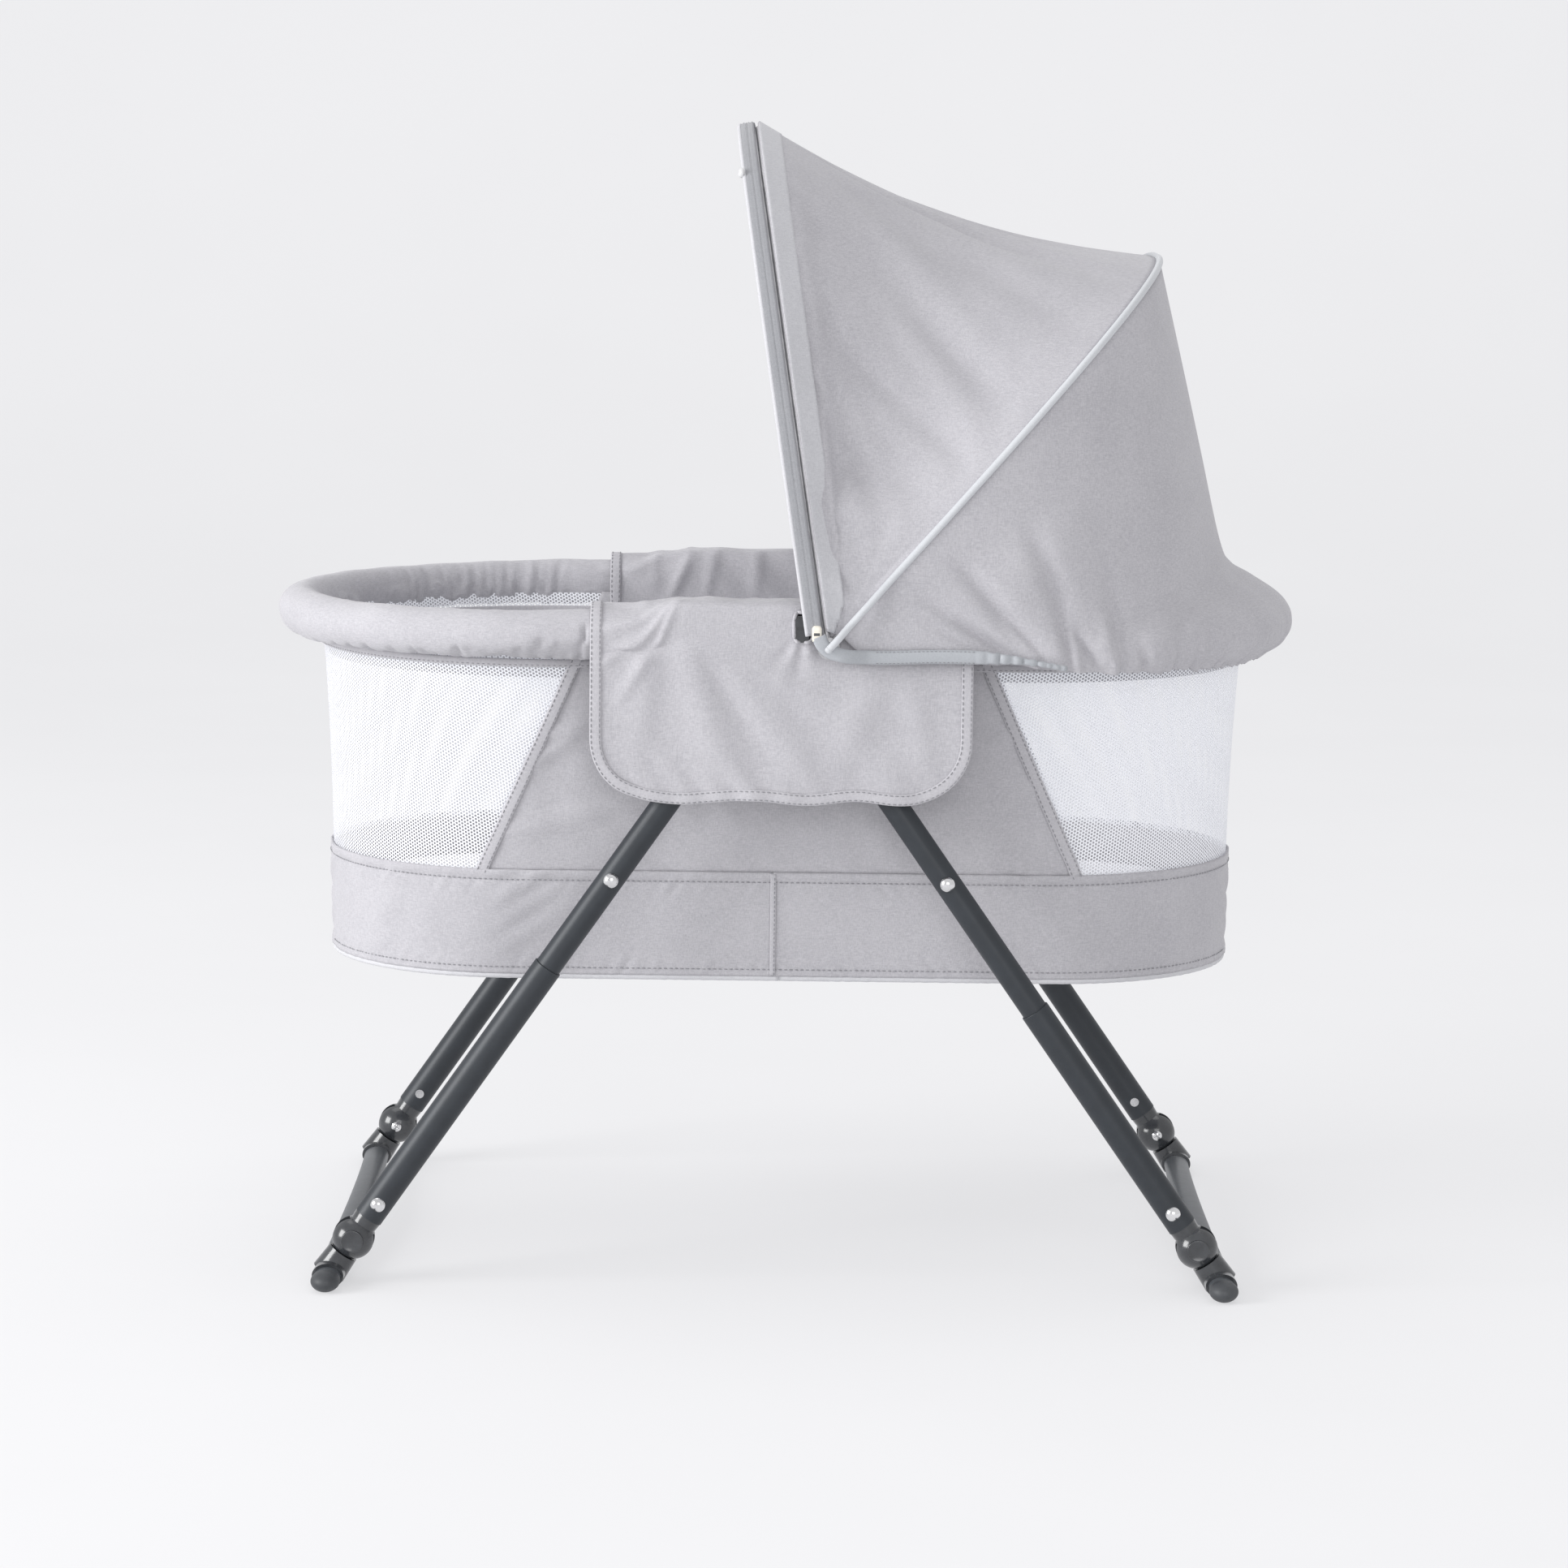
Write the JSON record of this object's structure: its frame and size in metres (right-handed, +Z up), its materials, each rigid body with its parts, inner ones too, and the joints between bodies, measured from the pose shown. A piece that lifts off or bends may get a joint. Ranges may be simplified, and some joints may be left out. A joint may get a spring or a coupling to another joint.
{
  "type": "bassinet on stand",
  "caption": "Oval fabric bassinet with padded rim, mesh windows and a folding canopy, on a folding tube stand with turning ball-knuckle feet.",
  "frame": {"origin": "centre of the bounding box on the floor", "axes": "+X towards the canopy end, -Y the front side with the cover flap nearer the viewer, +Z up"},
  "size_m": [0.8749, 0.556, 0.9641],
  "materials": {
    "fabric_grey": "light grey melange woven cloth, soft sheen",
    "mesh_white": "white fine hexagonal air mesh",
    "piping_grey": "satin corded piping and binding tape",
    "base_fabric": "grey cloth over the base board",
    "mattress_white": "white quilted cotton cover",
    "matte_charcoal": "fine matte charcoal",
    "gloss_charcoal": "smooth gloss charcoal",
    "chrome_steel": "polished",
    "frame_paint": "satin charcoal powder coat",
    "rim_steel": "plain tube, hidden in the roll",
    "bow_steel": "grey coated wire",
    "zip_tape": "woven zip tape with moulded teeth",
    "zip_cream": "cream moulded plastic"
  },
  "bodies": {
    "basket": {"rim_tube_left": "rim_steel", "rim_tube_right": "rim_steel", "rim_pad_left": "fabric_grey", "rim_pad_right": "fabric_grey", "panel_front": "fabric_grey", "panel_rear": "fabric_grey", "mesh_left": "mesh_white", "mesh_right": "mesh_white", "band_left": "fabric_grey", "band_right": "fabric_grey", "piping": "piping_grey", "base_board": "base_fabric", "mattress": "mattress_white", "flap_front": "fabric_grey", "flap_rear": "fabric_grey", "hub_front": "matte_charcoal", "hub_rear": "matte_charcoal", "bolts_front": "chrome_steel", "bolts_rear": "chrome_steel", "canopy_rear_panel": "fabric_grey"},
    "rear_bow": {"bow_rear": "bow_steel", "canopy_front_panel": "fabric_grey"},
    "front_bow": {"bow_front": "bow_steel", "zip_strip": "zip_tape", "zip_fittings": "zip_cream"},
    "left_legs": {"upper_tube_lf": "frame_paint", "sleeve_lf": "frame_paint", "knuckle_lf": "gloss_charcoal", "knuckle_pin_lf": "chrome_steel", "rivets_lf": "chrome_steel", "upper_tube_lb": "frame_paint", "sleeve_lb": "frame_paint", "knuckle_lb": "gloss_charcoal", "knuckle_pin_lb": "chrome_steel", "rivets_lb": "chrome_steel"},
    "right_legs": {"upper_tube_rf": "frame_paint", "sleeve_rf": "frame_paint", "knuckle_rf": "gloss_charcoal", "knuckle_pin_rf": "chrome_steel", "rivets_rf": "chrome_steel", "upper_tube_rb": "frame_paint", "sleeve_rb": "frame_paint", "knuckle_rb": "gloss_charcoal", "knuckle_pin_rb": "chrome_steel", "rivets_rb": "chrome_steel"},
    "left_foot": {"foot_bar_left": "frame_paint", "plugs_left": "matte_charcoal", "socket_lf": "gloss_charcoal", "socket_lb": "gloss_charcoal"},
    "right_foot": {"foot_bar_right": "frame_paint", "plugs_right": "matte_charcoal", "socket_rf": "gloss_charcoal", "socket_rb": "gloss_charcoal"},
    "latch_front": {"latch_front": "gloss_charcoal"},
    "latch_rear": {"latch_rear": "gloss_charcoal"},
    "button_lf": {"button_lf": "gloss_charcoal"},
    "button_lb": {"button_lb": "gloss_charcoal"},
    "button_rf": {"button_rf": "gloss_charcoal"},
    "button_rb": {"button_rb": "gloss_charcoal"}
  },
  "joints": [
    {"name": "left_legs_fold", "type": "hinge", "parent": "basket", "child": "left_legs", "pos_m": [-0.03, 0, 0.49967], "axis": [0, -1, 0], "range_deg": [0, 33]},
    {"name": "left_foot_turn", "type": "hinge", "parent": "left_legs", "child": "left_foot", "pos_m": [-0.35212, 0, 0.03793], "axis": [0, -1, 0], "range_deg": [0, 100]},
    {"name": "button_lf_press", "type": "slide", "parent": "left_legs", "child": "button_lf", "axis": [0, 1, 0], "range_m": [0, 0.0025], "stiffness_N_per_m": 400},
    {"name": "button_lb_press", "type": "slide", "parent": "left_legs", "child": "button_lb", "axis": [0, -1, 0], "range_m": [0, 0.0025], "stiffness_N_per_m": 400},
    {"name": "right_legs_fold", "type": "hinge", "parent": "basket", "child": "right_legs", "pos_m": [0.03, 0, 0.49967], "axis": [0, 1, 0], "range_deg": [0, 33]},
    {"name": "right_foot_turn", "type": "hinge", "parent": "right_legs", "child": "right_foot", "pos_m": [0.35212, 0, 0.03793], "axis": [0, 1, 0], "range_deg": [0, 100]},
    {"name": "button_rf_press", "type": "slide", "parent": "right_legs", "child": "button_rf", "axis": [0, 1, 0], "range_m": [0, 0.0025], "stiffness_N_per_m": 400},
    {"name": "button_rb_press", "type": "slide", "parent": "right_legs", "child": "button_rb", "axis": [0, -1, 0], "range_m": [0, 0.0025], "stiffness_N_per_m": 400},
    {"name": "latch_front_press", "type": "slide", "parent": "basket", "child": "latch_front", "axis": [0, 1, 0], "range_m": [0, 0.003], "stiffness_N_per_m": 400},
    {"name": "latch_rear_press", "type": "slide", "parent": "basket", "child": "latch_rear", "axis": [0, -1, 0], "range_m": [0, 0.003], "stiffness_N_per_m": 400},
    {"name": "canopy_fold", "type": "hinge", "parent": "basket", "child": "rear_bow", "pos_m": [0.038, 0, 0.541], "axis": [0, 1, 0], "range_deg": [0, 42], "deforming": ["canopy_rear_panel"]},
    {"name": "front_bow_fold", "type": "hinge", "parent": "rear_bow", "child": "front_bow", "pos_m": [0.038, 0, 0.541], "axis": [0, 1, 0], "range_deg": [0, 42], "deforming": ["canopy_front_panel"]}
  ],
  "couplings": [
    {"joint": "front_bow_fold", "follows": "canopy_fold", "ratio": 1}
  ]
}
